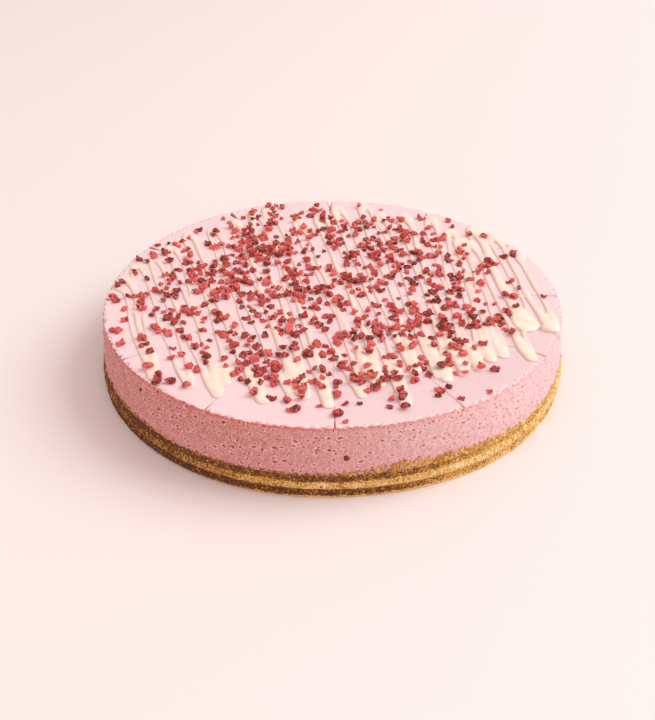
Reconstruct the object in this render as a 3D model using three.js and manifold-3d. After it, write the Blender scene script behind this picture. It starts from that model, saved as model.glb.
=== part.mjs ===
// A whole raspberry cheesecake: a pressed biscuit base, a layer of raspberry mousse marked into
// twelve portions, a zigzag drizzle of white chocolate and a scatter of freeze-dried raspberry.
// Millimetres, +Z up, the origin at the middle of the underside, the front towards -Y.

import * as THREE from "three";
import { mergeVertices } from "three/addons/utils/BufferGeometryUtils.js";
import Module from "manifold-3d";

// Driving dimensions of the two layers
const RIM_RADIUS = 125; // top edge of the mousse
const MOUSSE_FOOT_RADIUS = 127.2;
const BASE_RADIUS = 129.5; // the base's widest ridge
const BASE_HEIGHT = 12.4;
const LAYER_GAP = 0.3; // between the two layers
const CAKE_HEIGHT = 38.7; // to the mousse's flat top
// A hand-made cake isn't quite round: waves round it, each with its size and its start
const WANDER = [
  { waves: 1, size: 0.75, start: -0.3 },
  { waves: 2, size: 0.95, start: -2.9 },
  { waves: 3, size: 0.65, start: 2.3 },
  { waves: 6, size: 0.3, start: 0.6 },
];
const CRUMB_RELIEF = 0.45; // how far crumbs stand out of the base's side, or are missing
const CRUMB_SEED = 3;
const BASE_STEPS = 128; // facets round the base, finer for its crumbs
const MOUSSE_STEPS = 96;

// Portion marks: narrow V-shaped cuts across the whole top, deep enough to notch the rim. They
// cross a little in front of the cake's middle, and the first is turned by half a degree.
const PORTIONS = 12;
const CUT = { depth: 5.5, width: 1.5, overshoot: 10, above: 1 };
const CUTS_CROSS = { x: 0.3, y: -5, turn: 0.5 };

// White chocolate drizzle: one line from side to side, given by the points where it turned,
// those at the back and those at the front, both from the left to the right
const BACK_TURNS = [
  [-120, 6], [-118, 17], [-114, 34], [-106, 43], [-97, 59], [-89, 77], [-75, 83], [-62, 95],
  [-50, 106], [-42, 115], [-22, 94], [-7, 101], [4, 115], [21, 119], [31, 106], [46, 102],
  [63, 97], [74, 79], [79, 66], [83, 62], [87, 82], [99, 70], [113.5, 43],
];
const FRONT_TURNS = [
  [-89, -75], [-85, -86], [-67, -93], [-53, -101], [-50, -91], [-31, -106], [-18, -103],
  [-12, -103], [-1, -110], [15, -102], [23, -93], [35, -109], [41, -82], [52, -86], [56, -89],
  [65, -81], [72, -79], [79, -72], [86, -68], [100, -71], [104, -43], [115.5, -42],
];
// Widths at the far left and at the far right, as the stream grew while the hand went right
const STRAND = { back: [4.2, 7.2], middle: [2.7, 3.1], front: [5.6, 6.4], bow: 2.5, uneven: 0.28 };
// How far a stroke swings out as it leaves a back turn, and then as it nears the front one
const TURN = { swing: 10, overlap: 1.5, spread: 6 };
const BACK_SWELL = [0.1, 0.35]; // shares of a stroke's length over which its width changes
const FRONT_SWELL = [0.8, 0.97];
const STRAND_RINGS = [0, 0.1, 0.24, 0.5, 0.86, FRONT_SWELL[1], 1];
const STRAND_TIP = 0.4; // width of a stroke's very end, as a share
const STRAND_CREST = 0.5; // width of a stroke's upper side, as a share
const STRAND_RISE = 0.26; // height over the top, as a share of the width
const HIGHEST_RISE = 2; // where a wide pool has levelled out
const STRAND_SINK = 0.4; // depth of its underside in what it lies on
const STROKE_SAMPLES = 160; // points along a stroke at which its height is worked out
const DRIZZLE_SEED = 11;
// The heavy stroke at the right that ends in a pool, and the drip over the rim beside it
const HEAVY_STROKE = { number: 40, widths: [13, 6.2, 13.5] };
const DRIP = { angle: 340.2, width: 5.6, start: 0.95, bend: 1.012, end: 1.014, arch: 1.2, fall: 6 };

// Freeze-dried raspberry pieces
const CLUMPS = [ // where they fell in clumps, and how many in each
  [-50, 70, 14], [-52, 55, 20], [-42, 46, 20], [-33, 54, 14], [-22, 61, 6], [-45, 80, 6],
  [-68, 32, 9], [-60, 40, 7], [-53, 18, 10], [-80, 14, 9], [-66, 5, 6], [-78, 50, 4],
  [-55, -3, 14], [-48, -13, 7], [-90, -7, 6], [-85, -22, 5], [-112, 34, 3], [-20, 22, 9],
  [-32, 0, 8], [-15, 5, 10], [-2, 2, 11], [-14, -10, 10], [-5, 28, 7], [10, 13, 8],
  [12, 38, 5], [30, 42, 14], [32, 56, 14], [18, 56, 5], [46, 55, 9], [56, 42, 8], [38, 28, 12],
  [52, 14, 9], [76, 10, 8], [86, 35, 5], [-2, -20, 9], [-30, -34, 9], [18, -38, 12],
  [30, -44, 15], [47, -42, 10], [57, -36, 6], [38, -24, 9], [84, -26, 12], [68, -8, 7],
  [-12, -58, 10], [-50, -48, 6], [-42, -62, 9], [-44, -82, 8], [-34, -80, 5], [4, 96, 6],
  [18, 85, 6], [32, 88, 2], [-35, 112, 5], [-66, 108, 5], [27, -84, 5], [36, -66, 9],
  [-8, -92, 5], [-48, 98, 4], [-22, 104, 5], [62, -52, 4], [44, 75, 4], [10, 72, 6],
  [-5, 65, 4], [-92, -60, 3],
];
const CLUMP_SPREAD = 7;
const LOOSE_PIECES = 760;
const STREWN_FROM = [-8, 0]; // the middle of the loose ones
const THINNING = [0.65, 1.1]; // shares of the rim's radius over which the pieces thin out
const RIM_MARGIN = 2.5; // nearest that a piece's middle comes to the rim
const PIECE_LENGTH = [2.6, 6];
const SMALLER_ONES = 1.4; // over 1 makes small pieces commoner than large ones
const PIECE_WIDTH = [0.65, 0.92]; // shares of the length, and so is the height
const PIECE_HEIGHT = [0.5, 0.75];
const PIECE_TILT = 0.5;
const PIECE_LIFT = 0.26; // height of a piece's middle over its floor, as a share of its height
const CORNER_SWELL = [0.75, 1.05]; // how far a piece's corners are out, as shares
const CROWN = 0.8; // how far its upper corners draw in, as a share
const PIECES_IN_SOLID = 56; // the largest ones that keep apart, the rest being too fine
const PIECE_CLEARANCE = 0.75; // least distance between those, as a share of their lengths' sum
const RASPBERRY_SEED = 5;

const SLIVER = 0.03; // joining leaves edges shorter than this, which are closed up
const { smoothstep, degToRad, lerp } = THREE.MathUtils;
const wasm = await Module();
wasm.setup();

// Numbers that look random but come out the same each time
function seededDraw(seed) {
  let state = seed;
  return (low, high) => {
    state = (state * 1664525 + 1013904223) % 4294967296;
    return low + ((high - low) * state) / 4294967296;
  };
}

// A geometry with nothing but positions, in which faces share their vertices
function weld(geometry) {
  geometry.deleteAttribute("normal");
  geometry.deleteAttribute("uv");
  return mergeVertices(geometry, 1e-4);
}

// A welded, closed geometry as a solid for joining and cutting
function solidOf(geometry) {
  return new wasm.Manifold(
    new wasm.Mesh({
      numProp: 3,
      vertProperties: geometry.attributes.position.array,
      triVerts: new Uint32Array(geometry.index.array),
    }),
  );
}

function geometryOf(solid) {
  const { vertProperties, triVerts } = solid.getMesh();
  const geometry = new THREE.BufferGeometry();
  geometry.setAttribute("position", new THREE.BufferAttribute(vertProperties, 3));
  geometry.setIndex(new THREE.BufferAttribute(triVerts, 1));
  return geometry.toNonIndexed();
}

// How far the cake's outline is out at an angle
function wander(angle) {
  return WANDER.reduce((sum, { waves, size, start }) => sum + size * Math.sin(waves * angle + start), 0);
}

// A round layer from [radius, height] points that start and end on the axis, with relief()
// added to the radius of each vertex
function roundLayer(profile, steps, relief) {
  const points = profile.map(([radius, height]) => new THREE.Vector2(radius, height));
  const layer = weld(new THREE.LatheGeometry(points, steps).rotateX(Math.PI / 2));
  const position = layer.attributes.position;
  for (let i = 0; i < position.count; i++) {
    const [x, y] = [position.getX(i), position.getY(i)];
    const radius = Math.hypot(x, y);
    const onAxis = radius < 1;
    const share = onAxis ? 1 : (radius + wander(Math.atan2(y, x)) + relief()) / radius;
    position.setXY(i, x * share, y * share);
  }
  return layer;
}

// Pressed biscuit: an upper wall, a ledge that stands out, a hollow under it and a foot, all
// uneven from the crumbs in it
function biscuitBase() {
  const profile = [
    [0, 0],
    [BASE_RADIUS - 1.4, 0],
    [BASE_RADIUS - 0.4, 0.8],
    [BASE_RADIUS - 1.9, 2.5],
    [BASE_RADIUS - 1.9, 4.3],
    [BASE_RADIUS - 0.2, 5.6],
    [BASE_RADIUS - 0.1, 6.9],
    [BASE_RADIUS - 1.9, 9],
    [BASE_RADIUS - 2.4, BASE_HEIGHT],
    [0, BASE_HEIGHT],
  ];
  const draw = seededDraw(CRUMB_SEED);
  return roundLayer(profile, BASE_STEPS, () => draw(-CRUMB_RELIEF, CRUMB_RELIEF));
}

// The mousse before it is marked: a slightly tapered disc with a softened top edge
function mousseDisc() {
  const foot = BASE_HEIGHT + LAYER_GAP;
  const profile = [
    [0, foot],
    [MOUSSE_FOOT_RADIUS, foot],
    [MOUSSE_FOOT_RADIUS - 0.6, foot + 9],
    [RIM_RADIUS + 0.3, CAKE_HEIGHT - 3],
    [RIM_RADIUS, CAKE_HEIGHT - 0.7],
    [RIM_RADIUS - 0.9, CAKE_HEIGHT],
    [0, CAKE_HEIGHT],
  ];
  return roundLayer(profile, MOUSSE_STEPS, () => 0);
}

// One V-shaped blade that lies across the cake and cuts two opposite portion marks
function cutBlade(angle) {
  const section = new THREE.Shape([
    new THREE.Vector2(0, -CUT.depth),
    new THREE.Vector2(CUT.width / 2, CUT.above),
    new THREE.Vector2(-CUT.width / 2, CUT.above),
  ]);
  const length = 2 * (RIM_RADIUS + CUT.overshoot);
  const blade = new THREE.ExtrudeGeometry(section, { depth: length, bevelEnabled: false })
    .translate(0, 0, -length / 2)
    .rotateX(Math.PI / 2)
    .rotateZ(angle + degToRad(CUTS_CROSS.turn))
    .translate(CUTS_CROSS.x, CUTS_CROSS.y, CAKE_HEIGHT);
  return solidOf(weld(blade));
}

// The level direction to the left of another
function sideOf(along) {
  return new THREE.Vector3(-along.y, along.x, 0).normalize();
}

// A point of the top, given by its angle in degrees and its share of the rim's radius
function topPoint(angle, reach) {
  const radius = reach * RIM_RADIUS;
  const turned = degToRad(angle);
  return new THREE.Vector3(radius * Math.cos(turned), radius * Math.sin(turned), CAKE_HEIGHT);
}

// Stroke i runs between a turn at the back and one at the front: the next one to the right at
// the front, and then the next one to the right at the back. It leaves its back turn sideways,
// to the right and to the left by turns, so that two strokes make a round arch there, and they
// come to a front turn from both sides.
function strokeCurve(i, bow) {
  const turn = new THREE.Vector3(...BACK_TURNS[Math.ceil(i / 2)], CAKE_HEIGHT);
  const front = new THREE.Vector3(...FRONT_TURNS[Math.floor(i / 2)], CAKE_HEIGHT);
  const aside = new THREE.Vector3(i % 2 === 0 ? 1 : -1, 0, 0);
  const back = turn.clone().addScaledVector(aside, -TURN.overlap);
  const leave = turn.clone().addScaledVector(aside, TURN.swing);
  const middle = turn.clone().add(front).multiplyScalar(0.5).addScaledVector(aside, -TURN.spread);
  middle.addScaledVector(sideOf(front.clone().sub(turn)), bow);
  return new THREE.CubicBezierCurve3(back, leave, middle, front);
}

// Every stroke of the drizzle as a curve with its widths, from the back end to the front end
function drizzleStrokes() {
  const draw = seededDraw(DRIZZLE_SEED);
  const strokes = [];
  for (let i = 0; i < 2 * FRONT_TURNS.length; i++) {
    const curve = strokeCurve(i, draw(-STRAND.bow, STRAND.bow));
    const stout = draw(1 - STRAND.uneven, 1 + STRAND.uneven);
    const across = 0.5 + (0.5 * curve.v3.x) / RIM_RADIUS;
    const widths = [STRAND.back, STRAND.middle, STRAND.front].map(
      ([atLeft, atRight]) => stout * lerp(atLeft, atRight, across),
    );
    strokes.push({ curve, widths });
  }
  strokes[HEAVY_STROKE.number].widths = HEAVY_STROKE.widths;
  return strokes;
}

// Chocolate is thin along the stroke, thicker where it turned, and a drop at the front end
function strokeWidth([back, middle, front], t) {
  const atBack = 1 - smoothstep(t, ...BACK_SWELL);
  const atFront = smoothstep(t, ...FRONT_SWELL);
  return middle + (back - middle) * atBack + (front - middle) * atFront;
}

// How high the chocolate stands where it is so wide
function strokeRise(width) {
  return Math.min(STRAND_RISE * width, HIGHEST_RISE);
}

// A low mound bent along a curve. The four-sided bar's upper corners draw in, its lower ones
// spread out just under what it lies on, and both its ends close in.
function bentBar(curve, widthAt) {
  const steps = STRAND_RINGS.length - 1;
  const bar = weld(new THREE.CylinderGeometry(1, 1, 1, 4, steps, false, Math.PI / 4));
  const position = bar.attributes.position;
  for (let i = 0; i < position.count; i++) {
    const t = STRAND_RINGS[Math.round((position.getY(i) + 0.5) * steps)];
    const width = widthAt(t) * (t === 0 || t === 1 ? STRAND_TIP : 1);
    const upper = Math.sign(position.getX(i));
    const sideways = (Math.sign(position.getZ(i)) * width) / 2;
    const at = curve.getPoint(t);
    const tangent = curve.getTangent(t);
    const side = sideOf(tangent);
    const up = tangent.cross(side).normalize();
    at.addScaledVector(side, upper > 0 ? sideways * STRAND_CREST : sideways);
    at.addScaledVector(up, upper > 0 ? strokeRise(width) : upper * STRAND_SINK);
    position.setXYZ(i, at.x, at.y, at.z);
  }
  return solidOf(bar);
}

// The drip runs outwards over the rim and a little way down the mousse's side
function dripSolid() {
  const start = topPoint(DRIP.angle, DRIP.start);
  const bend = topPoint(DRIP.angle, DRIP.bend);
  const end = topPoint(DRIP.angle, DRIP.end);
  bend.z += DRIP.arch;
  end.z -= DRIP.fall;
  return bentBar(new THREE.QuadraticBezierCurve3(start, bend, end), () => DRIP.width);
}

// How far the drizzle stands over the top at a point
function drizzleRise(x, y, strokes) {
  let rise = 0;
  for (const { curve, widths } of strokes) {
    for (let k = 0; k <= STROKE_SAMPLES; k++) {
      const at = curve.getPoint(k / STROKE_SAMPLES);
      const width = strokeWidth(widths, k / STROKE_SAMPLES);
      const offCentre = (2 * Math.hypot(x - at.x, y - at.y)) / width;
      if (offCentre < 1) rise = Math.max(rise, strokeRise(width) * Math.sqrt(1 - offCentre ** 2));
    }
  }
  return rise;
}

// A place for a loose piece: anywhere on the top, but seldom near the rim
function raspberrySpot(draw) {
  for (;;) {
    const [x, y, luck] = [draw(-1, 1), draw(-1, 1), draw(0, 1)];
    if (luck > smoothstep(Math.hypot(x, y), ...THINNING)) {
      return [STREWN_FROM[0] + x * RIM_RADIUS, STREWN_FROM[1] + y * RIM_RADIUS];
    }
  }
}

function raspberryPiece(x, y, draw) {
  const [shortest, longest] = PIECE_LENGTH;
  const length = shortest + (longest - shortest) * draw(0, 1) ** SMALLER_ONES;
  const width = length * draw(...PIECE_WIDTH);
  const height = length * draw(...PIECE_HEIGHT);
  const turn = draw(0, 2 * Math.PI);
  return { x, y, length, width, height, turn, tilt: draw(-PIECE_TILT, PIECE_TILT) };
}

// All the pieces, in clumps and then loose, sorted with the largest first
function raspberryPieces() {
  const draw = seededDraw(RASPBERRY_SEED);
  const pieces = [];
  for (const [x, y, count] of CLUMPS) {
    for (let k = 0; k < count; k++) {
      const dx = CLUMP_SPREAD * (draw(-1, 1) + draw(-1, 1));
      const dy = CLUMP_SPREAD * (draw(-1, 1) + draw(-1, 1));
      pieces.push(raspberryPiece(x + dx, y + dy, draw));
    }
  }
  for (let k = 0; k < LOOSE_PIECES; k++) pieces.push(raspberryPiece(...raspberrySpot(draw), draw));
  const onTop = pieces.filter(({ x, y }) => Math.hypot(x, y) < RIM_RADIUS - RIM_MARGIN);
  return onTop.sort((a, b) => b.length - a.length);
}

// The largest pieces, leaving out any that would lie against one already taken
function largestApart(pieces) {
  const taken = [];
  for (const piece of pieces) {
    const clear = taken.every((other) => {
      const gap = Math.hypot(piece.x - other.x, piece.y - other.y);
      return gap > PIECE_CLEARANCE * (piece.length + other.length);
    });
    if (clear) taken.push(piece);
    if (taken.length === PIECES_IN_SOLID) break;
  }
  return taken;
}

// A broken piece of berry: a block with uneven corners, sunk a little into the mousse or the
// drizzle under it
function raspberrySolid(piece, strokes, draw) {
  const block = weld(new THREE.BoxGeometry(piece.length, piece.width, piece.height));
  const position = block.attributes.position;
  for (let i = 0; i < position.count; i++) {
    const crown = position.getZ(i) > 0 ? CROWN : 1;
    position.setXYZ(
      i,
      position.getX(i) * draw(...CORNER_SWELL) * crown,
      position.getY(i) * draw(...CORNER_SWELL) * crown,
      position.getZ(i) * draw(...CORNER_SWELL),
    );
  }
  block.rotateX(piece.tilt).rotateZ(piece.turn);
  const floor = CAKE_HEIGHT + drizzleRise(piece.x, piece.y, strokes);
  return solidOf(block.translate(piece.x, piece.y, floor + PIECE_LIFT * piece.height));
}

// Mousse, marked into portions, with the drizzle and the largest pieces joined to its top
function raspberryMousse() {
  const strokes = drizzleStrokes();
  const draw = seededDraw(RASPBERRY_SEED + 1);
  let mousse = solidOf(mousseDisc());
  for (let k = 0; k < PORTIONS / 2; k++) {
    mousse = mousse.subtract(cutBlade((k * 2 * Math.PI) / PORTIONS));
  }
  for (const { curve, widths } of strokes) {
    mousse = mousse.add(bentBar(curve, (t) => strokeWidth(widths, t)));
  }
  mousse = mousse.add(dripSolid());
  for (const piece of largestApart(raspberryPieces())) {
    mousse = mousse.add(raspberrySolid(piece, strokes, draw));
  }
  return geometryOf(mousse.simplify(SLIVER));
}

function layerMesh(name, geometry, color, roughness) {
  const material = new THREE.MeshStandardMaterial({ color, roughness, metalness: 0 });
  const mesh = new THREE.Mesh(geometry, material);
  mesh.name = name;
  return mesh;
}

const cheesecake = new THREE.Group();
cheesecake.add(layerMesh("biscuit_base", biscuitBase(), 0xc9924a, 0.95));
cheesecake.add(layerMesh("raspberry_mousse", raspberryMousse(), 0xf0bcc0, 0.6));

export default cheesecake;
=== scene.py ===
import math
import bpy
import numpy as np
from mathutils import Matrix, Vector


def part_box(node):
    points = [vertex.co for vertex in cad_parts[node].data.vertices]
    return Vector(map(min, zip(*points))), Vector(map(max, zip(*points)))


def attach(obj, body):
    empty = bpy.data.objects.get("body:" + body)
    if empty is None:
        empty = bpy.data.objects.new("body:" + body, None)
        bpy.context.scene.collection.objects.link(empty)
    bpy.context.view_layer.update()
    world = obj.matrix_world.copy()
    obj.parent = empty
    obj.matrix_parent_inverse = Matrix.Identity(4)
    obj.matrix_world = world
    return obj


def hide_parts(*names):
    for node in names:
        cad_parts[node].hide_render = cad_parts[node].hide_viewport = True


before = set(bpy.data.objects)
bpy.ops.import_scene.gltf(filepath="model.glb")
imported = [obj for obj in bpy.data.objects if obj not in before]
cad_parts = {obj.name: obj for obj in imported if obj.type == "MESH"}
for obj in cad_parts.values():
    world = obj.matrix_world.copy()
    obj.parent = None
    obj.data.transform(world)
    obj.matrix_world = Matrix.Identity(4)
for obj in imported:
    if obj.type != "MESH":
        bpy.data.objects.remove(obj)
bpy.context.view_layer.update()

# Biscuit base
# Crushed golden biscuits bound with butter and pressed into a round tin. The side shows the
# packed crumbs: an upper wall, a ledge where the press stopped, and a hollow under the ledge.
MM = 0.001
BASE_RADIUS = 128.8 * MM  # the ledge, which is the base's widest part
BASE_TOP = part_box("biscuit_base")[1].z
BASE_PROFILE = [
    (BASE_RADIUS - 1.4 * MM, 0),
    (BASE_RADIUS - 0.4 * MM, 0.8 * MM),
    (BASE_RADIUS - 1.9 * MM, 2.5 * MM),
    (BASE_RADIUS - 1.9 * MM, 4.3 * MM),
    (BASE_RADIUS - 0.2 * MM, 5.6 * MM),
    (BASE_RADIUS - 0.1 * MM, 6.9 * MM),
    (BASE_RADIUS - 1.9 * MM, 9 * MM),
    (BASE_RADIUS - 2.4 * MM, BASE_TOP),
]
OUTLINE_WAVES = [  # a hand-made cake isn't quite round: waves round it, their sizes and starts
    (1, 0.75 * MM, -0.3),
    (2, 0.95 * MM, -2.9),
    (3, 0.65 * MM, 2.3),
    (6, 0.3 * MM, 0.6),
]
BASE_STEPS = 1560  # vertices round the base
BASE_SPACING = 0.42 * MM  # between its rows of vertices
CRUMB = 1.1 * MM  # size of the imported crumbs
CRUMB_RELIEF = 0.5 * MM
LUMP = 5 * MM  # and of the lumps that they form
LUMP_RELIEF = 0.4 * MM


def raise_layer(name, profile, steps, spacing):
    """A round layer: a flat disc whose face is pulled up ring by ring along the profile."""
    rows = [profile[0]]
    for (r0, z0), (r1, z1) in zip(profile, profile[1:]):
        count = max(1, math.ceil(math.hypot(r1 - r0, z1 - z0) / spacing))
        shares = [k / count for k in range(1, count + 1)]
        rows += [(r0 + (r1 - r0) * share, z0 + (z1 - z0) * share) for share in shares]
    bpy.ops.object.select_all(action="DESELECT")
    bpy.ops.mesh.primitive_circle_add(vertices=steps, radius=rows[0][0], fill_type="NGON")
    layer = bpy.context.object
    layer.name = layer.data.name = name
    bpy.ops.object.mode_set(mode="EDIT")
    bpy.ops.mesh.select_all(action="SELECT")
    bpy.ops.transform.translate(value=(0, 0, rows[0][1]))
    for (r0, z0), (r1, z1) in zip(rows, rows[1:]):
        bpy.ops.mesh.extrude_region_move(TRANSFORM_OT_translate={"value": (0, 0, z1 - z0)})
        bpy.ops.transform.resize(value=(r1 / r0, r1 / r0, 1), center_override=(0, 0, z1))
    bpy.ops.mesh.select_all(action="SELECT")
    bpy.ops.mesh.normals_make_consistent(inside=False)
    bpy.ops.object.mode_set(mode="OBJECT")
    return layer


def wander(angle):
    """How far the cake's outline is out at an angle."""
    return sum(size * np.sin(waves * angle + start) for waves, size, start in OUTLINE_WAVES)


def vertices_of(mesh):
    places = np.empty(3 * len(mesh.vertices))
    mesh.vertices.foreach_get("co", places)
    return places.reshape(-1, 3)


def make_unround(piece):
    places = vertices_of(piece.data)
    radius = np.hypot(places[:, 0], places[:, 1])
    out = wander(np.arctan2(places[:, 1], places[:, 0]))
    places[:, :2] *= (1 + out * np.clip(radius / BASE_RADIUS, 0, 1) / np.maximum(radius, MM))[:, None]
    piece.data.vertices.foreach_set("co", places.ravel())
    piece.data.update()


class Wire:
    """An output of a node in a shader or a geometry tree. Sums, differences, products and powers
    of wires and numbers add the Math nodes that work them out."""

    def __init__(self, tree, socket=None):
        self.tree = tree
        self.socket = socket

    def node(self, kind, settings=None, inputs=None, output=0):
        """Adds a node: first its settings, then the values or wires of its sockets."""
        node = self.tree.nodes.new(kind)
        for name, value in (settings or {}).items():
            if name == "stops":
                while len(node.color_ramp.elements) < len(value):
                    node.color_ramp.elements.new(0.5)
                for element, (place, colour) in zip(node.color_ramp.elements, value):
                    element.position = place
                    element.color = colour
            else:
                setattr(node, name, value)
        for name, value in (inputs or {}).items():
            if isinstance(value, Wire):
                self.tree.links.new(value.socket, node.inputs[name])
            else:
                node.inputs[name].default_value = value
        return Wire(self.tree, node.outputs[output] if len(node.outputs) else None)

    def beside(self, output):
        """Another output of the node that this wire comes from."""
        return Wire(self.tree, self.socket.node.outputs[output])

    def math(self, operation, first, second):
        return self.node("ShaderNodeMath", {"operation": operation}, {0: first, 1: second})

    def __add__(self, other):
        return self.math("ADD", self, other)

    def __sub__(self, other):
        return self.math("SUBTRACT", self, other)

    def __mul__(self, other):
        return self.math("MULTIPLY", self, other)

    def __pow__(self, other):
        return self.math("POWER", self, other)

    def __rsub__(self, other):
        return self.math("SUBTRACT", other, self)

    __radd__ = __add__
    __rmul__ = __mul__

    def rise(self, low, high):
        """0 where this wire is below low, 1 where it is above high, and smooth between."""
        limits = {"Value": self, "From Min": low, "From Max": high}
        return self.node("ShaderNodeMapRange", {"interpolation_type": "SMOOTHSTEP"}, limits)

    def tint(self, first, second):
        """The first colour where this wire is 0, and the second where it is 1."""
        colours = {0: self, 6: first, 7: second}
        return self.node("ShaderNodeMix", {"data_type": "RGBA"}, colours, output=2)

    def along(self, vector):
        """The vector times this wire."""
        return self.node("ShaderNodeVectorMath", {"operation": "SCALE"}, {0: vector, "Scale": self})

    def into(self, node, name):
        self.tree.links.new(self.socket, node.inputs[name])


def relief_modifier(piece, name, fields):
    """Moves a piece's vertices along their normals and keeps what its finish needs to know.
    fields(start, place) returns the height and the values to keep, by attribute name."""
    tree = bpy.data.node_groups.new(name, "GeometryNodeTree")
    for way in ("INPUT", "OUTPUT"):
        tree.interface.new_socket("Geometry", in_out=way, socket_type="NodeSocketGeometry")
    start = Wire(tree)
    shape = start.node("NodeGroupInput")
    place = start.node("GeometryNodeInputPosition")
    height, kept = fields(start, place)
    for attribute, value in kept.items():
        inputs = {"Geometry": shape, "Name": attribute, "Value": value}
        settings = {"data_type": "FLOAT", "domain": "POINT"}
        shape = start.node("GeometryNodeStoreNamedAttribute", settings, inputs)
    offset = height.along(start.node("GeometryNodeInputNormal"))
    shape = start.node("GeometryNodeSetPosition", {}, {"Geometry": shape, "Offset": offset})
    start.node("NodeGroupOutput", {}, {"Geometry": shape})
    modifier = piece.modifiers.new(name, "NODES")
    modifier.node_group = tree
    bpy.context.view_layer.objects.active = piece
    bpy.ops.object.modifier_apply(modifier=name)


def packed_crumbs(start, place):
    """Each cell of the pattern is one crumb, which stands out or is sunk by chance."""
    cell = start.node("ShaderNodeTexVoronoi", {}, {"Vector": place, "Scale": 1 / CRUMB})
    chance = start.node("ShaderNodeSeparateXYZ", {}, {0: cell.beside("Color")})
    lumps = start.node("ShaderNodeTexNoise", {}, {"Vector": place, "Scale": 1 / LUMP, "Detail": 1.0})
    height = start.node("ShaderNodeSeparateXYZ", {}, {0: place}, output="Z")
    clear = height.rise(0.1 * MM, 0.8 * MM) * (1 - height.rise(BASE_TOP - 0.3 * MM, BASE_TOP))
    stand_out = (0.35 + 0.65 * chance) * (1 - cell * 1.3) - 0.25
    relief = (stand_out * CRUMB_RELIEF + (lumps - 0.5) * LUMP_RELIEF * 2) * clear
    return relief, {"crumb": chance.beside("Y"), "sunk": 1 - stand_out.rise(-0.35, 0.25)}


base = raise_layer("biscuit_base", BASE_PROFILE, BASE_STEPS, BASE_SPACING)
make_unround(base)
relief_modifier(base, "packed_crumbs", packed_crumbs)
bpy.ops.object.select_all(action="DESELECT")
base.select_set(True)
bpy.context.view_layer.objects.active = base
bpy.ops.object.shade_smooth_by_angle(angle=math.radians(50))


def srgb(red, green, blue):
    """A colour as a picture gives it, 0 to 255, in the linear form that nodes take."""
    shares = [value / 255 for value in (red, green, blue)]
    return tuple(s / 12.92 if s <= 0.04045 else ((s + 0.055) / 1.055) ** 2.4 for s in shares) + (1,)


def finish(name, constants):
    """A new material, the start of its expressions and its shader, with the constants set."""
    material = bpy.data.materials.new(name)
    material.use_nodes = True
    shader = material.node_tree.nodes["Principled BSDF"]
    for socket, value in constants.items():
        shader.inputs[socket].default_value = value
    return material, Wire(material.node_tree), shader


biscuit, start, shader = finish("biscuit", {"Roughness": 0.85, "Specular IOR Level": 0.25})
BISCUIT_TONES = [  # from the darkest crumbs to the palest
    (0.0, srgb(98, 58, 38)),
    (0.25, srgb(150, 98, 54)),
    (0.5, srgb(208, 154, 74)),
    (0.75, srgb(232, 188, 106)),
    (1.0, srgb(246, 220, 180)),
]
place = start.node("ShaderNodeTexCoord", output="Object")
crumb = start.node("ShaderNodeAttribute", {"attribute_name": "crumb"}, output="Fac")
sunk = start.node("ShaderNodeAttribute", {"attribute_name": "sunk"}, output="Fac")
axes = start.node("ShaderNodeSeparateXYZ", {}, {0: place})
height = axes.beside("Z")
ledge = height.rise(4.4 * MM, 5.4 * MM) * (1 - height.rise(8.0 * MM, 9.2 * MM))
foot = 1 - height.rise(0.8 * MM, 1.6 * MM)
grain = start.node("ShaderNodeTexNoise", {}, {"Vector": place, "Scale": 1 / (0.55 * MM), "Detail": 1.0})
blotch = start.node("ShaderNodeTexNoise", {}, {"Vector": place, "Scale": 1 / (9 * MM), "Detail": 2.0})
bit = start.node("ShaderNodeTexVoronoi", {}, {"Vector": place, "Scale": 1 / (0.6 * MM)}, output="Color")
bit = start.node("ShaderNodeSeparateXYZ", {}, {0: bit})
# Height bands: the ledge and, towards the right, the foot are made golden while the wall and hollow stay
# darker, partly darker buttery crumbs and partly painted light on the ledge and painted shade under the
# mousse and in the hollow.
proud_and_lit = ledge + foot * axes.rise(-90 * MM, -30 * MM)
clear_of_left_shade = axes.rise(-115 * MM, 0)  # golden, while the far left, turned from the window, is painted brown all over as shade
lit_right = axes.rise(0, 95 * MM)  # and the right is painted pale: painted light where the window light falls
tone = 0.2 * crumb + 1.3 * (grain - 0.5) + 0.5 * (bit - 0.5) + 0.7 * (blotch - 0.5)
tone = tone + proud_and_lit * (0.22 + 0.42 * clear_of_left_shade) + lit_right * (0.55 - 0.45 * proud_and_lit) - 0.2 * (1 - clear_of_left_shade)
# Sunk crumbs are darkened: painted shade between the crumbs.
baked = start.node("ShaderNodeValToRGB", {"stops": BISCUIT_TONES}, {"Fac": tone - sunk * 0.15})
baked.into(shader, "Base Color")
bump = start.node("ShaderNodeBump", {}, {"Strength": 0.6, "Distance": 0.15 * MM, "Height": grain})
bump.into(shader, "Normal")
base.data.materials.append(biscuit)
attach(base, "root")
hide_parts("biscuit_base")

# Loose biscuit crumbs
# Single crumbs that stand out of the base's side, and others that the cut dragged up onto the
# mousse's foot, so that the two layers meet in a ragged line.
CRUMB_SHAPES = 6
CRUMB_COUNT = 8000
CRUMB_SIZE = (0.5 * MM, 1.7 * MM)
CRUMB_ROUGHNESS = 0.16
CRUMBS_UP = 0.28  # share of them on the mousse's foot
CRUMB_LIMITS = (0.9 * MM, BASE_TOP + 0.2 * MM)  # heights of the others
DRAGGED_AT = math.radians(-66)  # where most were dragged up, and how far to both sides
DRAGGED_WIDTH = math.radians(17)
DRAGGED_HIGHER = 2.9  # millimetres
SUNK_IN_BASE = 0.25  # shares of a crumb's size by which its middle lies inside
SUNK_IN_MOUSSE = 0.05
MOUSSE_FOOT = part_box("raspberry_mousse")[0].z
MOUSSE_FOOT_RADIUS = 127.2 * MM


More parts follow.
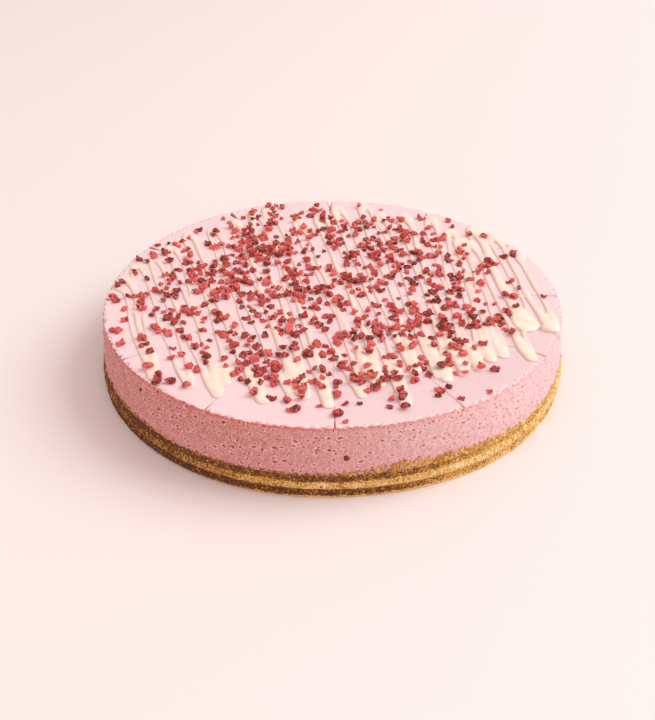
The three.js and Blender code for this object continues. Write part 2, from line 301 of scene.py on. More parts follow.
def crumb_shape(seed):
    """A twenty-sided grain with its corners pushed about."""
    bpy.ops.object.select_all(action="DESELECT")
    bpy.ops.mesh.primitive_ico_sphere_add(subdivisions=1, radius=0.5)
    bpy.ops.object.mode_set(mode="EDIT")
    bpy.ops.mesh.select_all(action="SELECT")
    bpy.ops.transform.vertex_random(offset=CRUMB_ROUGHNESS, uniform=1.0, normal=0.3, seed=seed)
    bpy.ops.object.mode_set(mode="OBJECT")
    return bpy.context.object


def scatter(name, shapes, placings):
    """One piece of many copies. A placing is a shape's number, three sizes, two turns, a place
    and the value of the attribute that the finish reads."""
    forms = []
    for shape in shapes:
        corners = [list(face.vertices) for face in shape.data.polygons]
        forms.append((vertices_of(shape.data), corners))
        bpy.data.objects.remove(shape)
    places, faces, tones, count = [], [], [], 0
    for number, sizes, tilt, turn, place, tone in placings:
        form, corners = forms[number]
        turned = np.array(Matrix.Rotation(turn, 3, "Z") @ Matrix.Rotation(tilt, 3, "X"))
        places.append((form * sizes) @ turned.T + place)
        faces += [[corner + count for corner in face] for face in corners]
        tones.append(np.full(len(form), tone))
        count += len(form)
    mesh = bpy.data.meshes.new(name)
    mesh.from_pydata(np.concatenate(places).tolist(), [], faces)
    mesh.attributes.new("tone", "FLOAT", "POINT").data.foreach_set("value", np.concatenate(tones))
    piece = bpy.data.objects.new(name, mesh)
    bpy.context.scene.collection.objects.link(piece)
    return piece


def crumb_placings():
    """Where each crumb sits on the side. Those on the mousse reach up in uneven waves."""
    rng = np.random.default_rng(4)
    heights = [height for radius, height in BASE_PROFILE]
    radii = [radius for radius, height in BASE_PROFILE]
    placings = []
    for k in range(CRUMB_COUNT):
        angle = rng.uniform(-math.pi, math.pi)
        dragged = math.exp(-(((angle - DRAGGED_AT) / DRAGGED_WIDTH) ** 2))
        on_mousse = rng.random() < CRUMBS_UP * (1 + 2 * dragged)
        if on_mousse:
            reach = 0.9 + 0.9 * math.sin(5 * angle + 2) + 0.7 * math.sin(13 * angle)
            reach += DRAGGED_HIGHER * dragged
            height = MOUSSE_FOOT + max(0.4, reach) * MM * rng.random() ** 1.3
            radius = MOUSSE_FOOT_RADIUS
        else:
            height = rng.uniform(*CRUMB_LIMITS)
            radius = np.interp(height, heights, radii)
        size = CRUMB_SIZE[0] + (CRUMB_SIZE[1] - CRUMB_SIZE[0]) * rng.random() ** 3
        size *= 1.2 + 0.5 * dragged if on_mousse else 1
        radius += wander(angle) - (SUNK_IN_MOUSSE if on_mousse else SUNK_IN_BASE) * size
        sizes = size * rng.uniform(0.6, 1.1, 3)
        tilt, turn, tone = rng.uniform(0, math.pi), rng.uniform(0, 2 * math.pi), rng.random()
        place = (radius * math.cos(angle), radius * math.sin(angle), height)
        placings.append((k % CRUMB_SHAPES, sizes, tilt, turn, place, tone))
    return placings


crumbs = scatter(
    "biscuit_crumbs",
    [crumb_shape(seed) for seed in range(CRUMB_SHAPES)],
    crumb_placings(),
)
loose, start, shader = finish("loose_biscuit", {"Roughness": 0.85, "Specular IOR Level": 0.25})
place = start.node("ShaderNodeTexCoord", output="Object")
tone = start.node("ShaderNodeAttribute", {"attribute_name": "tone"}, output="Fac")
grain = start.node("ShaderNodeTexNoise", {}, {"Vector": place, "Scale": 1 / (0.5 * MM), "Detail": 2.0})
# Painted light: the loose crumbs are paler towards the lit right.
lit_right = start.node("ShaderNodeSeparateXYZ", {}, {0: place}).rise(-60 * MM, 110 * MM)
shade = 0.1 + 0.3 * lit_right + 0.5 * tone + 0.6 * (grain - 0.5)
baked = start.node("ShaderNodeValToRGB", {"stops": BISCUIT_TONES}, {"Fac": shade})
baked.into(shader, "Base Color")
bump = start.node("ShaderNodeBump", {}, {"Strength": 0.5, "Distance": 0.1 * MM, "Height": grain})
bump.into(shader, "Normal")
crumbs.data.materials.append(loose)
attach(crumbs, "root")

# Raspberry mousse
# Whipped cream cheese and raspberry, set with gelatine on the base in the same tin. The top was
# levelled smooth, and the side, where the tin came off, is full of small burst air bubbles.
CAKE_TOP = 38.7 * MM
RIM_RADIUS = 125 * MM
MOUSSE_PROFILE = [
    (MOUSSE_FOOT_RADIUS, MOUSSE_FOOT),
    (MOUSSE_FOOT_RADIUS - 0.6 * MM, MOUSSE_FOOT + 9 * MM),
    (RIM_RADIUS + 0.3 * MM, CAKE_TOP - 3 * MM),
    (RIM_RADIUS, CAKE_TOP - 0.7 * MM),
    (RIM_RADIUS - 0.25 * MM, CAKE_TOP - 0.2 * MM),
    (RIM_RADIUS - 0.9 * MM, CAKE_TOP),
    (RIM_RADIUS - 4.5 * MM, CAKE_TOP),
]
MOUSSE_STEPS = 1500
MOUSSE_SPACING = 0.5 * MM
BUBBLES = [  # usual distance between them, radius of the largest ones, depth and share of them
    (5 * MM, 1.25 * MM, 0.6 * MM, 0.8),
    (2.5 * MM, 0.7 * MM, 0.35 * MM, 0.7),
    (1.3 * MM, 0.34 * MM, 0, 0.5),
]
SIDE_SWELL = 3 * MM  # size of the side's low lumps
SIDE_SWELL_RELIEF = 1.8
RIM_BITE = 2 * MM  # and of the bites in its rim
RIM_BITE_RELIEF = 2.8
PORTIONS = 12
CUTS_CROSS = (0.3 * MM, -5 * MM)
CUTS_TURN = math.radians(0.5)
CUT_STATIONS = [  # distance from where the cuts cross, width and depth
    (22 * MM, 0.15 * MM, 0.15 * MM),
    (80 * MM, 0.4 * MM, 0.4 * MM),
    (112 * MM, 0.8 * MM, 0.7 * MM),
    (120 * MM, 1.6 * MM, 1.8 * MM),
    (125 * MM, 3.2 * MM, 4.6 * MM),
    (140 * MM, 4.2 * MM, 6.5 * MM),
]
BLADE_TAPER = 0.05  # width of a cut's lower edge, as a share of its width
BLADE_FLARE = 1.2  # and of its upper edge, which stands over the top by a share of its depth
BLADE_STANDS = 0.2


def cut_blade():
    """The room that one cut takes up: a V in section that starts as a scratch and is widest and
    deepest where the knife went over the rim."""
    first = CUT_STATIONS[0][0]
    bpy.ops.object.select_all(action="DESELECT")
    bpy.ops.mesh.primitive_plane_add(size=1, location=(first, 0, 0), rotation=(0, math.pi / 2, 0))
    bpy.ops.object.transform_apply()
    bpy.ops.object.mode_set(mode="EDIT")
    bpy.ops.mesh.select_all(action="SELECT")
    for station, after in zip(CUT_STATIONS, CUT_STATIONS[1:]):
        move = (after[0] - station[0], 0, 0)
        bpy.ops.mesh.extrude_region_move(TRANSFORM_OT_translate={"value": move})
    bpy.ops.mesh.select_all(action="SELECT")
    bpy.ops.mesh.normals_make_consistent(inside=False)
    bpy.ops.object.mode_set(mode="OBJECT")
    blade = bpy.context.object
    for vertex in blade.data.vertices:
        width, depth = next(station[1:] for station in CUT_STATIONS if abs(station[0] - vertex.co.x) < MM)
        lower = vertex.co.z < 0
        vertex.co.y *= width * (BLADE_TAPER if lower else BLADE_FLARE)
        vertex.co.z = CAKE_TOP - depth if lower else CAKE_TOP + BLADE_STANDS * depth
    return blade


def cut_portions(piece):
    blade = cut_blade()
    blade.location = (*CUTS_CROSS, 0)
    bpy.context.view_layer.objects.active = piece
    for k in range(PORTIONS):
        blade.rotation_euler.z = CUTS_TURN + 2 * math.pi * k / PORTIONS
        cut = piece.modifiers.new("cut", "BOOLEAN")
        cut.operation = "DIFFERENCE"
        cut.solver = "MANIFOLD"
        cut.object = blade
        bpy.ops.object.modifier_apply(modifier="cut")
    bpy.data.objects.remove(blade)
    piece.data.materials.clear()  # the cuts leave an empty slot
    bpy.ops.object.select_all(action="DESELECT")
    piece.select_set(True)
    bpy.ops.object.mode_set(mode="EDIT")
    bpy.ops.mesh.select_all(action="SELECT")
    bpy.ops.mesh.remove_doubles(threshold=0.01 * MM)
    bpy.ops.mesh.dissolve_degenerate(threshold=0.005 * MM)
    bpy.ops.object.mode_set(mode="OBJECT")


def burst_bubbles(start, place):
    """Hollows of many sizes, laid out on the side as if it were flat, and a little distorted.
    Returns for each size how far inside a hollow and how far on its lip a point is."""
    axes = start.node("ShaderNodeSeparateXYZ", {}, {0: place})
    around = start.math("ARCTAN2", axes, 0 - axes.beside("Y")) * RIM_RADIUS
    flat = start.node("ShaderNodeCombineXYZ", {}, {"X": around, "Y": axes.beside("Z") * 1.5})
    warp = start.node("ShaderNodeTexNoise", {}, {"Vector": place, "Scale": 1 / (1.1 * MM)}, "Color")
    inputs = {0: warp, 1: (2.4 * MM,) * 3, 2: flat}
    warped = start.node("ShaderNodeVectorMath", {"operation": "MULTIPLY_ADD"}, inputs)
    hollows = []
    for apart, widest, depth, share in BUBBLES:
        inputs = {"Vector": warped, "Scale": 1 / apart}
        cell = start.node("ShaderNodeTexVoronoi", {"voronoi_dimensions": "2D"}, inputs)
        chance = start.node("ShaderNodeSeparateXYZ", {}, {0: cell.beside("Color")})
        edge = (widest / apart) * (0.3 + 0.7 * chance)
        there = 1 - chance.beside("Y").rise(share, share + 0.02)
        inside = (1 - cell.rise(edge * 0.5, edge)) * there
        lip = (1 - cell.rise(edge * 1.3, edge * 1.9)) * cell.rise(edge * 0.9, edge * 1.2) * there
        hollows.append((inside, lip))
    return hollows


def porous_side(start, place):
    """The side's lumps and hollows, and the bites that the tin tore out of the rim. They fade out
    on the top and just above the foot."""
    axes = start.node("ShaderNodeSeparateXYZ", {}, {0: place})
    radius = (axes * axes + axes.beside("Y") * axes.beside("Y")) ** 0.5
    height = axes.beside("Z")
    side = radius.rise(RIM_RADIUS - 2.8 * MM, RIM_RADIUS - 0.6 * MM)
    side = side * height.rise(MOUSSE_FOOT + 0.1 * MM, MOUSSE_FOOT + 0.6 * MM)
    swell = start.node("ShaderNodeTexNoise", {}, {"Vector": place, "Scale": 1 / SIDE_SWELL, "Detail": 3.0})
    relief = (swell - 0.5) * SIDE_SWELL_RELIEF * MM
    ragged = start.node("ShaderNodeTexNoise", {}, {"Vector": place, "Scale": 1 / RIM_BITE, "Detail": 2.0})
    at_rim = height.rise(CAKE_TOP - 2.4 * MM, CAKE_TOP - 0.9 * MM)
    relief = relief + (ragged - 0.6) * at_rim * RIM_BITE_RELIEF * MM
    below_rim = 1 - height.rise(CAKE_TOP - 1.6 * MM, CAKE_TOP - 0.8 * MM)
    for (inside, lip), (apart, widest, depth, share) in zip(burst_bubbles(start, place), BUBBLES):
        relief = relief - inside * below_rim * depth
    return relief * side, {}


mousse = raise_layer("raspberry_mousse", MOUSSE_PROFILE, MOUSSE_STEPS, MOUSSE_SPACING)
relief_modifier(mousse, "porous_side", porous_side)
make_unround(mousse)
cut_portions(mousse)
bpy.ops.object.select_all(action="DESELECT")
mousse.select_set(True)
bpy.context.view_layer.objects.active = mousse
bpy.ops.object.shade_smooth_by_angle(angle=math.radians(40))

pink, start, shader = finish(
    "mousse",
    {
        "Specular IOR Level": 0.35,
        "Subsurface Weight": 0.4,
        "Subsurface Radius": (1.0, 0.5, 0.45),
        "Subsurface Scale": 1.2 * MM,
    },
)
place = start.node("ShaderNodeTexCoord", output="Object")
axes = start.node("ShaderNodeSeparateXYZ", {}, {0: place})
height = axes.beside("Z")
below_top = 1 - height.rise(CAKE_TOP - 1.0 * MM, CAKE_TOP - 0.35 * MM)
mottle = start.node("ShaderNodeTexNoise", {}, {"Vector": place, "Scale": 1 / (1.8 * MM), "Detail": 4.0})
grain = start.node("ShaderNodeTexNoise", {}, {"Vector": place, "Scale": 1 / (0.5 * MM), "Detail": 1.0})
cloud = start.node("ShaderNodeTexNoise", {}, {"Vector": place, "Scale": 1 / (30 * MM), "Detail": 2.0})
lit_towards_right = (axes + 20 * MM * (cloud - 0.5)).rise(-60 * MM, 110 * MM)  # painted light: paler towards the right, where the window light falls
blotch = (mottle + 1.5 * (grain - 0.5)).rise(0.25, 0.75)
# The side's pink is darker and redder on the left and pale on the right: partly its own deeper colour, and
# partly painted shade on the left and painted light on the right.
side_pink = lit_towards_right.tint(
    blotch.tint(srgb(183, 114, 105), srgb(217, 155, 147)),
    blotch.tint(srgb(232, 190, 191), srgb(245, 213, 215)),
)
low = 1 - height.rise(MOUSSE_FOOT, CAKE_TOP - 10 * MM)
side_pink = (0.3 * low).tint(side_pink, srgb(222, 158, 172))
top_pink = cloud.tint(srgb(246, 221, 222), srgb(244, 214, 216))
# Painted shade: the top is darkened at the right front, where the window light falls strongest.
over_lit_right_front = lit_towards_right * axes.beside("Y").rise(20 * MM, -80 * MM)
top_pink = (0.8 * over_lit_right_front).tint(top_pink, srgb(233, 204, 205))
# A dark red line just under the edge: partly the side's own skin and partly painted shade under the edge,
# painted fainter towards the lit right.
rim = below_top * height.rise(CAKE_TOP - 2.6 * MM, CAKE_TOP - 1.4 * MM)
rim = rim * (mottle + 1.2 * (grain - 0.5)).rise(0.3, 0.55)
skin = below_top.tint(top_pink, side_pink)
skin = (rim * (0.9 - 0.7 * lit_towards_right)).tint(skin, srgb(222, 98, 94))
surface = mottle * (0.15 + 0.85 * below_top) + grain * 0.3 * below_top
for inside, lip in burst_bubbles(start, place):
    # Pale lips round the bubbles: painted highlights on their rims.
    skin = (lip * below_top * 0.5).tint(skin, srgb(252, 214, 212))
    # Dark red in the bubbles: partly their own deeper colour and partly painted shade in the hollows,
    # painted fainter on the lit right.
    skin = (inside.rise(0.05, 0.4) * below_top * (0.9 - 0.6 * lit_towards_right)).tint(skin, srgb(196, 62, 58))
    surface = surface - inside * below_top
skin.into(shader, "Base Color")
(0.42 + 0.3 * below_top).into(shader, "Roughness")
bump = start.node("ShaderNodeBump", {}, {"Strength": 0.5, "Distance": 0.25 * MM, "Height": surface})
bump.into(shader, "Normal")
mousse.data.materials.append(pink)
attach(mousse, "root")
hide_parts("raspberry_mousse")

# White chocolate drizzle
# Melted white chocolate poured from a spoon to and fro across the top: thin strands, thicker
# where the hand turned, with drops at the front, one heavy stroke and a drip over the rim.
BACK_TURNS = [  # where the spoon turned, in millimetres, from the left to the right
    (-120, 6), (-118, 17), (-114, 34), (-106, 43), (-97, 59), (-89, 77), (-75, 83), (-62, 95),
    (-50, 106), (-42, 115), (-22, 94), (-7, 101), (4, 115), (21, 119), (31, 106), (46, 102),
    (63, 97), (74, 79), (79, 66), (83, 62), (87, 82), (99, 70), (113.5, 43),
]
FRONT_TURNS = [
    (-89, -75), (-85, -86), (-67, -93), (-53, -101), (-50, -91), (-31, -106), (-18, -103),
    (-12, -103), (-1, -110), (15, -102), (23, -93), (35, -109), (41, -82), (52, -86), (56, -89),
    (65, -81), (72, -79), (79, -72), (86, -68), (100, -71), (104, -43), (115.5, -42),
]
STRAND = {"back": (4.2, 7.2), "middle": (2.7, 3.1), "front": (5.6, 6.4)}  # widths, left and right
STROKE_BOW = 2.5 * MM
STROKE_UNEVEN = 0.28
TURN_SWING = 10 * MM  # how far a stroke swings out as it leaves a back turn
TURN_OVERLAP = 1.5 * MM
TURN_SPREAD = 6 * MM  # and how far it swings out as it nears the front one
BACK_SWELL = (0.1, 0.35)  # shares of a stroke's length over which its width changes
FRONT_SWELL = (0.8, 0.97)
STRAND_RISE = 0.26
HIGHEST_RISE = 2 * MM
DRIZZLE_SEED = 11
HEAVY_STROKE = {"number": 40, "widths": (13, 6.2, 13.5)}
DRIP_ANGLE = math.radians(340.2)
DRIP_WIDTH = 5.6 * MM
DRIP_ROUTE = [  # how far outside the rim and over the top, in millimetres, and share of its width
    (-9, 0.2, 0.8), (-5, 0.3, 0.9), (-2, 0.1, 0.85), (-0.6, -0.6, 0.7), (-0.1, -2, 0.65),
    (0.1, -3.5, 0.7), (0.2, -5, 0.3),
]
STROKE_STEP = 2 * MM  # between the points of a stroke
STROKE_END = 3 * MM  # the rounded ends have seven points each
CORD_ROUNDNESS = 3
UNEVEN_WIDTH = (0.12, 6 * MM)  # share of its width by which a stroke swells, and over what length
UNEVEN_COURSE = (0.35 * MM, 9 * MM)  # the same for how far it strays
UNDERSIDE = 0.35  # depth of a stroke's underside, as a share of its half width
VOXEL = 0.5 * MM
MOST_TRIANGLES = 190000


def seeded_draw(seed):
    """Numbers that look random but come out the same each time, as for the solid's drizzle."""
    state = seed

    def draw(low, high):
        nonlocal state
        state = (state * 1664525 + 1013904223) % 4294967296
        return low + (high - low) * state / 4294967296

    return draw


def smooth_step(value, low, high):
    share = np.clip((value - low) / (high - low), 0, 1)
    return share * share * (3 - 2 * share)


def drizzle_strokes():
    """Each stroke from its back end to its front end, as four points that steer its curve. It
    leaves its back turn sideways, so that two strokes make a round arch there, and they come to
    a front turn from both sides."""
    draw = seeded_draw(DRIZZLE_SEED)
    strokes = []
    for i in range(2 * len(FRONT_TURNS)):
        turn = np.array(BACK_TURNS[math.ceil(i / 2)]) * MM
        front = np.array(FRONT_TURNS[i // 2]) * MM
        aside = np.array((1 if i % 2 == 0 else -1, 0))
        along = front - turn
        side = np.array((-along[1], along[0])) / np.hypot(*along)
        middle = (turn + front) / 2 - aside * TURN_SPREAD + side * draw(-STROKE_BOW, STROKE_BOW)
        stout = draw(1 - STROKE_UNEVEN, 1 + STROKE_UNEVEN) * MM
        across = 0.5 + 0.5 * front[0] / RIM_RADIUS
        ends = [STRAND[part] for part in ("back", "middle", "front")]
        widths = [stout * (left + (right - left) * across) for left, right in ends]
        steered_by = (turn - aside * TURN_OVERLAP, turn + aside * TURN_SWING, middle, front)
        strokes.append({"points": np.array(steered_by), "widths": widths})
    strokes[HEAVY_STROKE["number"]]["widths"] = [width * MM for width in HEAVY_STROKE["widths"]]
    return strokes


def stroke_width(widths, t):
    back, middle, front = widths
    at_back = 1 - smooth_step(t, *BACK_SWELL)
    at_front = smooth_step(t, *FRONT_SWELL)
    return middle + (back - middle) * at_back + (front - middle) * at_front


def stroke_point(stroke, t):
    parts = ((1 - t) ** 3, 3 * t * (1 - t) ** 2, 3 * t * t * (1 - t), t**3)
    return np.stack(parts, -1) @ stroke["points"]


def add_spline(curve, points, radii):
    spline = curve.splines.new("POLY")
    spline.points.add(len(points) - 1)
    spline.points.foreach_set("co", [value for point in points for value in (*point, 1)])
    spline.points.foreach_set("radius", radii)


def drizzle_curve(strokes):
    """Every stroke as a round cord on the level plane, with rounded ends and uneven width."""
    curve = bpy.data.curves.new("white_chocolate_drizzle", "CURVE")
    curve.dimensions = "3D"
    curve.bevel_depth = 1
    curve.bevel_resolution = CORD_ROUNDNESS
    curve.use_fill_caps = True
    rng = np.random.default_rng(7)
    steps = np.linspace(0, 1, 400)
    for stroke in strokes:
        pieces = np.hypot(*np.diff(stroke_point(stroke, steps), axis=0).T)
        run = np.concatenate(([0], np.cumsum(pieces)))
        length = run[-1]
        phases = rng.uniform(0, 2 * math.pi, 3)
        points, radii = [], []
        distances = np.concatenate(
            (
                np.linspace(0, STROKE_END, 7),
                np.arange(STROKE_END + 1.5 * MM, length - STROKE_END - MM, STROKE_STEP),
                length - np.linspace(STROKE_END, 0, 7),
            )
        )
        for distance in distances:
            t = np.interp(distance, run, steps)
            half = stroke_width(stroke["widths"], t) / 2
            share, over = UNEVEN_WIDTH
            half *= 1 + share * math.sin(distance / over + phases[0]) * smooth_step(t, 0.1, 0.3)
            from_end = min(distance, length - distance)
            if from_end < half:
                half = max(0.15 * half, math.sqrt(half**2 - (half - from_end) ** 2))
            x, y = stroke_point(stroke, t)
            aside, over = UNEVEN_COURSE
            wave = aside * math.sin(distance / over + phases[1])
            points.append((x + wave, y, 0))
            radii.append(half)
        add_spline(curve, points, radii)
    return curve


def convert_to_mesh(curve):
    cord = bpy.data.objects.new(curve.name, curve)
    bpy.context.scene.collection.objects.link(cord)
    bpy.ops.object.select_all(action="DESELECT")
    cord.select_set(True)
    bpy.context.view_layer.objects.active = cord
    bpy.ops.object.convert(target="MESH")
    return bpy.context.object


def flatten_strokes(piece):
    """Gives the cords a low rounded top that levels out where they are wide, and sinks them."""
    places = vertices_of(piece.data)
    height = places[:, 2]
    above = HIGHEST_RISE * np.tanh(2 * STRAND_RISE * height / HIGHEST_RISE)
    places[:, 2] = CAKE_TOP + np.where(height > 0, above, UNDERSIDE * height)
    piece.data.vertices.foreach_set("co", places.ravel())
    piece.data.update()


def drip_curve():
    """The drip goes out over the rim and a little way down the side."""
    rim = RIM_RADIUS + wander(DRIP_ANGLE)
    curve = bpy.data.curves.new("drip", "CURVE")
    curve.dimensions = "3D"
    curve.bevel_depth = 1
    curve.bevel_resolution = CORD_ROUNDNESS
    curve.use_fill_caps = True
    outward = np.array((math.cos(DRIP_ANGLE), math.sin(DRIP_ANGLE)))
    points = [(*(outward * (rim + out * MM)), CAKE_TOP + up * MM) for out, up, share in DRIP_ROUTE]
    radii = [DRIP_WIDTH / 2 * share for out, up, share in DRIP_ROUTE]
    add_spline(curve, points, radii)
    return curve


strokes = drizzle_strokes()
drizzle = convert_to_mesh(drizzle_curve(strokes))
flatten_strokes(drizzle)
convert_to_mesh(drip_curve())  # it stays selected
drizzle.select_set(True)
bpy.context.view_layer.objects.active = drizzle
bpy.ops.object.join()
drizzle.name = drizzle.data.name = "white_chocolate_drizzle"

# The strokes run into each other where they meet, and their surface is drawn smooth as it sets.
remesh = drizzle.modifiers.new("merge", "REMESH")
remesh.mode = "VOXEL"
remesh.voxel_size = VOXEL
bpy.ops.object.modifier_apply(modifier="merge")
smooth = drizzle.modifiers.new("smooth", "SMOOTH")
smooth.factor = 0.5
smooth.iterations = 6
bpy.ops.object.modifier_apply(modifier="smooth")
triangles = sum(len(face.vertices) - 2 for face in drizzle.data.polygons)
if triangles > MOST_TRIANGLES:
    thin = drizzle.modifiers.new("thin", "DECIMATE")
    thin.ratio = MOST_TRIANGLES / triangles
    bpy.ops.object.modifier_apply(modifier="thin")
bpy.ops.object.shade_smooth()

chocolate, start, shader = finish(
    "white_chocolate",
    {
        "Specular IOR Level": 0.45,
        "Subsurface Weight": 0.4,
        "Subsurface Radius": (1.0, 0.7, 0.55),
        "Subsurface Scale": 1.6 * MM,
    },
)
place = start.node("ShaderNodeTexCoord", output="Object")
streak = start.node("ShaderNodeTexNoise", {}, {"Vector": place, "Scale": 1 / (5 * MM), "Detail": 3.0})
fine = start.node("ShaderNodeTexNoise", {}, {"Vector": place, "Scale": 1 / (0.8 * MM), "Detail": 2.0})
height = start.node("ShaderNodeSeparateXYZ", {}, {0: place}, output="Z")
thick = height.rise(CAKE_TOP + 0.25 * MM, CAKE_TOP + 1.5 * MM)
cream = streak.rise(0.3, 0.7).tint(srgb(249, 229, 206), srgb(252, 239, 226))
cream = thick.tint(srgb(248, 213, 207), cream)
facing = start.node("ShaderNodeSeparateXYZ", {}, {0: start.node("ShaderNodeNewGeometry", output="Normal")})
shaded = (0 - facing).rise(0.1, 0.7) * (0.1 + 0.4 * thick)  # flanks turned from the light
shaded.tint(cream, srgb(242, 200, 178)).into(shader, "Base Color")
(0.3 + 0.2 * streak).into(shader, "Roughness")
bump = start.node("ShaderNodeBump", {}, {"Strength": 0.25, "Distance": 0.15 * MM, "Height": fine})
bump.into(shader, "Normal")
drizzle.data.materials.append(chocolate)
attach(drizzle, "root")

# Freeze-dried raspberry pieces
# Raspberries dried and broken into angular bits of 3 to 6 mm, strewn over the wet chocolate in
# clumps, thick in the middle and thin towards the rim.
CLUMPS = [  # where they fell in clumps, in millimetres, and how many in each
    (-50, 70, 14), (-52, 55, 20), (-42, 46, 20), (-33, 54, 14), (-22, 61, 6), (-45, 80, 6),
    (-68, 32, 9), (-60, 40, 7), (-53, 18, 10), (-80, 14, 9), (-66, 5, 6), (-78, 50, 4),
    (-55, -3, 14), (-48, -13, 7), (-90, -7, 6), (-85, -22, 5), (-112, 34, 3), (-20, 22, 9),
    (-32, 0, 8), (-15, 5, 10), (-2, 2, 11), (-14, -10, 10), (-5, 28, 7), (10, 13, 8),
    (12, 38, 5), (30, 42, 14), (32, 56, 14), (18, 56, 5), (46, 55, 9), (56, 42, 8), (38, 28, 12),
    (52, 14, 9), (76, 10, 8), (86, 35, 5), (-2, -20, 9), (-30, -34, 9), (18, -38, 12),
    (30, -44, 15), (47, -42, 10), (57, -36, 6), (38, -24, 9), (84, -26, 12), (68, -8, 7),
    (-12, -58, 10), (-50, -48, 6), (-42, -62, 9), (-44, -82, 8), (-34, -80, 5), (4, 96, 6),
    (18, 85, 6), (32, 88, 2), (-35, 112, 5), (-66, 108, 5), (27, -84, 5), (36, -66, 9),
    (-8, -92, 5), (-48, 98, 4), (-22, 104, 5), (62, -52, 4), (44, 75, 4), (10, 72, 6),
    (-5, 65, 4), (-92, -60, 3),
]
CLUMP_SPREAD = 7 * MM
LOOSE_PIECES = 760
STREWN_FROM = (-8 * MM, 0)  # the middle of the loose ones
THINNING = (0.65, 1.1)  # shares of the rim's radius over which the pieces thin out
RIM_MARGIN = 2.5 * MM
PIECE_LENGTH = (2.6, 6.0)
SMALLER_ONES = 1.4  # over 1 makes small pieces commoner than large ones
PIECE_WIDTH = (0.65, 0.92)
PIECE_HEIGHT = (0.5, 0.75)
PIECE_TILT = 0.5
PIECE_LIFT = 0.26
SMALLEST_PIECE = 3.2 * MM  # shown length of the smallest ones, while the largest stay as they are
PIECES_IN_SOLID = 56
PIECE_CLEARANCE = 0.75
LEAST_APART = 0.34  # share of two pieces' lengths
LEANS_WITHIN = 0.36  # the same for a piece that leans on another
LEANING_RISE = 0.1  # and then the share of that one's height by which it is raised
HIGHEST_POINT = 4.3 * MM  # nothing reaches higher over the top
RASPBERRY_SEED = 5
LUMPY_SHAPES = 9
LUMPY_ROUGHNESS = 0.1
BROKEN_FACES = 4
BROKEN_AT = (0.2, 0.36)  # how far from its middle, where the whole grain is one across
CURLED_SHAPES = 3
CURLED_ROUGHNESS = 0.08
SKIN_THICKNESS = 0.3
IN_THE_SIDE = [  # stray pieces that were stirred in: angle in degrees, height and size
    (-87.2, 22.3 * MM, 3.6 * MM),
    (-138.3, 31.8 * MM, 1.8 * MM),
    (-151, 17.3 * MM, 1.6 * MM),
]
SIDE_SHAPE = 3  # the shape that they share
SIDE_TONE = 2.0  # darker than any on the top


def fill_unit_box(shape):
    """Fits a shape to a box one wide, deep and high, so that a placing's sizes are its own."""
    places = vertices_of(shape.data)
    places -= (places.max(0) + places.min(0)) / 2
    places /= places.max(0) - places.min(0)
    shape.data.vertices.foreach_set("co", places.ravel())
    return shape


def lumpy_shape(seed):
    """A rough grain with a few flat broken faces."""
    rng = np.random.default_rng(seed)
    bpy.ops.object.select_all(action="DESELECT")
    bpy.ops.mesh.primitive_ico_sphere_add(subdivisions=2, radius=0.5)
    bpy.ops.object.mode_set(mode="EDIT")
    bpy.ops.mesh.select_all(action="SELECT")
    bpy.ops.transform.vertex_random(offset=LUMPY_ROUGHNESS, uniform=1.0, normal=0.5, seed=seed)
    for k in range(BROKEN_FACES):
        across = rng.normal(size=3)
        across /= np.linalg.norm(across)
        bpy.ops.mesh.select_all(action="SELECT")
        bpy.ops.mesh.bisect(
            plane_co=tuple(across * rng.uniform(*BROKEN_AT)), plane_no=tuple(across),
            use_fill=True, clear_outer=True,
        )
    bpy.ops.mesh.select_all(action="SELECT")
    bpy.ops.mesh.quads_convert_to_tris()
    bpy.ops.object.mode_set(mode="OBJECT")
    return fill_unit_box(bpy.context.object)


def curled_shape(seed):
    """A bit of thin skin that curled up as it dried."""
    bpy.ops.object.select_all(action="DESELECT")
    bpy.ops.mesh.primitive_grid_add(x_subdivisions=4, y_subdivisions=3, size=1)
    shape = bpy.context.object
    for vertex in shape.data.vertices:
        vertex.co.z = 0.8 * vertex.co.x**2 + 0.4 * vertex.co.y**2 + 0.4 * vertex.co.x * vertex.co.y
    bpy.ops.object.mode_set(mode="EDIT")
    bpy.ops.mesh.select_all(action="SELECT")
    bpy.ops.transform.vertex_random(offset=CURLED_ROUGHNESS, uniform=1.0, normal=0.0, seed=seed)
    bpy.ops.object.mode_set(mode="OBJECT")
    skin = shape.modifiers.new("skin", "SOLIDIFY")
    skin.thickness = SKIN_THICKNESS
    bpy.ops.object.modifier_apply(modifier="skin")
    return fill_unit_box(shape)


def raspberry_spot(draw):
    while True:
        x, y, luck = draw(-1, 1), draw(-1, 1), draw(0, 1)
        if luck > smooth_step(math.hypot(x, y), *THINNING):
            return STREWN_FROM[0] + x * RIM_RADIUS, STREWN_FROM[1] + y * RIM_RADIUS


def raspberry_piece(x, y, draw):
    shortest, longest = PIECE_LENGTH
    length = (shortest + (longest - shortest) * draw(0, 1) ** SMALLER_ONES) * MM
    width = length * draw(*PIECE_WIDTH)
    height = length * draw(*PIECE_HEIGHT)
    turn = draw(0, 2 * math.pi)
    tilt = draw(-PIECE_TILT, PIECE_TILT)
    return {"x": x, "y": y, "length": length, "width": width, "height": height, "turn": turn, "tilt": tilt}


